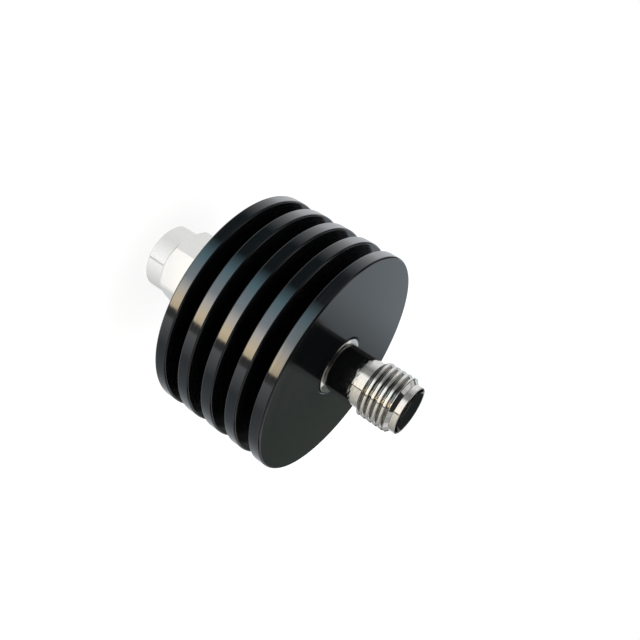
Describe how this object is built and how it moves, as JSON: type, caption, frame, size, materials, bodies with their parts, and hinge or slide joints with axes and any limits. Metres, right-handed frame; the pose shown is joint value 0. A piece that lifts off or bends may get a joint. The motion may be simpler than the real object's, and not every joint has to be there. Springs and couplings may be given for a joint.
{
  "type": "rf attenuator",
  "caption": "Fixed coaxial attenuator: round black fins on a turned heat sink between a threaded jack and a plug with a free-turning hexagon coupling nut.",
  "frame": {"origin": "centre of the coupling nut's end face, on which the part stands", "axes": "+Z along the connector axis from the plug towards the jack; +X through a corner of the nut's hexagon"},
  "size_m": [0.0254, 0.0254, 0.0333],
  "materials": {
    "black_anodised_aluminium": "black anodised, satin",
    "nickel_plated_brass": "bright nickel plate",
    "satin_nickel": "satin nickel plate",
    "gold_plated_bronze": "gold plate",
    "spring_bronze": "bare bronze",
    "black_peek": "machined, matt black",
    "silicone_rubber": "matt red",
    "bare_aluminium": "turned",
    "alumina_ceramic": "fired ceramic",
    "resistive_ink": "printed film",
    "silver_ink": "printed film"
  },
  "bodies": {
    "attenuator": {"heat_sink": "black_anodised_aluminium", "jack_body": "nickel_plated_brass", "jack_insulator": "black_peek", "jack_contact": "gold_plated_bronze", "plug_body": "nickel_plated_brass", "plug_insulator": "black_peek", "plug_pin": "gold_plated_bronze", "snap_ring": "spring_bronze", "gasket": "silicone_rubber", "carrier_lower": "bare_aluminium", "carrier_upper": "bare_aluminium", "chip_substrate": "alumina_ceramic", "resistor_film": "resistive_ink", "input_terminal": "silver_ink", "output_terminal": "silver_ink", "ground_terminals": "silver_ink"},
    "nut": {"coupling_nut": "satin_nickel"}
  },
  "joints": [
    {"name": "nut_spin", "type": "hinge", "parent": "attenuator", "child": "nut", "pos_m": [0, 0, 0.0033], "axis": [0, 0, 1], "continuous": true}
  ]
}
